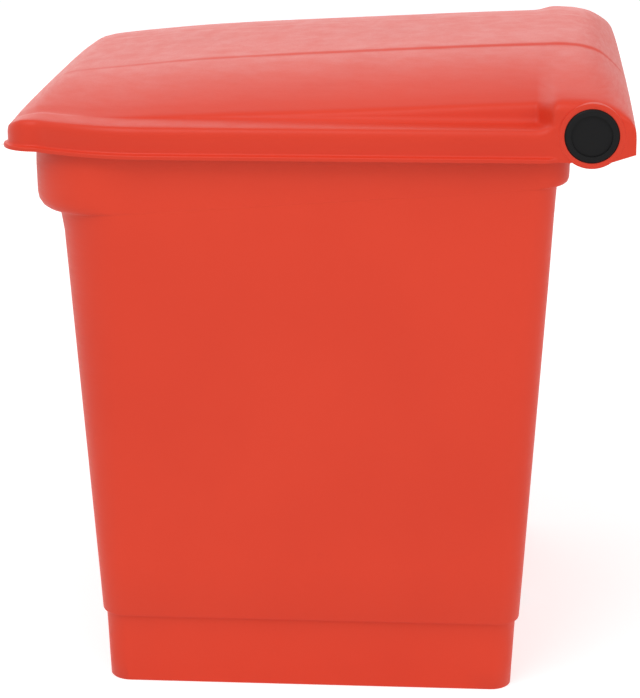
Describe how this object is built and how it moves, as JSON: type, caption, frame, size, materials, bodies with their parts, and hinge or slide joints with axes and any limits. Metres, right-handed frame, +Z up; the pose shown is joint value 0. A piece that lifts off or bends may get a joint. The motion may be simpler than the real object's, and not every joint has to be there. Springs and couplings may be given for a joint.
{
  "type": "step-on waste bin",
  "caption": "Upright step-on waste bin: tapered moulded container, hinged lid with a raised middle band, foot pedal and lift rod.",
  "frame": {"origin": "middle of the overall bounding box, at the floor", "axes": "+Z up, -Y towards the front and the pedal, +Y towards the hinge, X across"},
  "size_m": [0.4, 0.413, 0.435],
  "materials": {
    "container_red": "semi-gloss moulded polyethylene with a fine grain",
    "lid_red": "semi-gloss moulded polyethylene with a fine grain",
    "pedal_red": "moulded, ribbed",
    "black_plastic": "moulded",
    "nylon": "natural nylon",
    "zinc_steel": "zinc plated",
    "fastener_steel": "zinc plated"
  },
  "bodies": {
    "container": {"container_shell": "container_red", "rod_guide_lower": "black_plastic", "rod_guide_upper": "black_plastic", "guide_screws": "fastener_steel", "pedal_axle": "zinc_steel", "axle_saddle_left": "zinc_steel", "axle_saddle_right": "zinc_steel", "saddle_screws": "fastener_steel", "axle_clips": "fastener_steel", "axle_bush_left": "nylon", "axle_bush_right": "nylon"},
    "lid": {"lid_shell": "lid_red", "hinge_pin_left": "black_plastic", "hinge_pin_right": "black_plastic", "lift_bracket": "zinc_steel", "bracket_screws": "fastener_steel", "lift_pin": "zinc_steel", "lift_pin_clip": "fastener_steel"},
    "rod": {"lift_rod": "zinc_steel", "rod_head": "zinc_steel", "rod_foot": "zinc_steel", "foot_pin": "zinc_steel", "foot_pin_clip": "fastener_steel"},
    "pedal": {"pedal_lever": "zinc_steel", "lever_sleeve": "zinc_steel", "foot_pedal": "pedal_red", "pedal_screws": "fastener_steel"}
  },
  "joints": [
    {"name": "lid_hinge", "type": "hinge", "parent": "container", "child": "lid", "pos_m": [0, 0.1786, 0.3971], "axis": [-1, 0, 0], "range_deg": [0, 80]},
    {"name": "rod_lift", "type": "slide", "parent": "container", "child": "rod", "axis": [0, 0.0771, 0.997], "range_m": [0, 0.0492]},
    {"name": "pedal_pivot", "type": "hinge", "parent": "container", "child": "pedal", "pos_m": [0, -0.048, 0.024], "axis": [1, 0, 0], "range_deg": [0, 16.8]}
  ],
  "couplings": [
    {"joint": "rod_lift", "follows": "lid_hinge", "m_per_rad": 0.035092},
    {"joint": "pedal_pivot", "follows": "lid_hinge", "ratio": 0.2078}
  ]
}
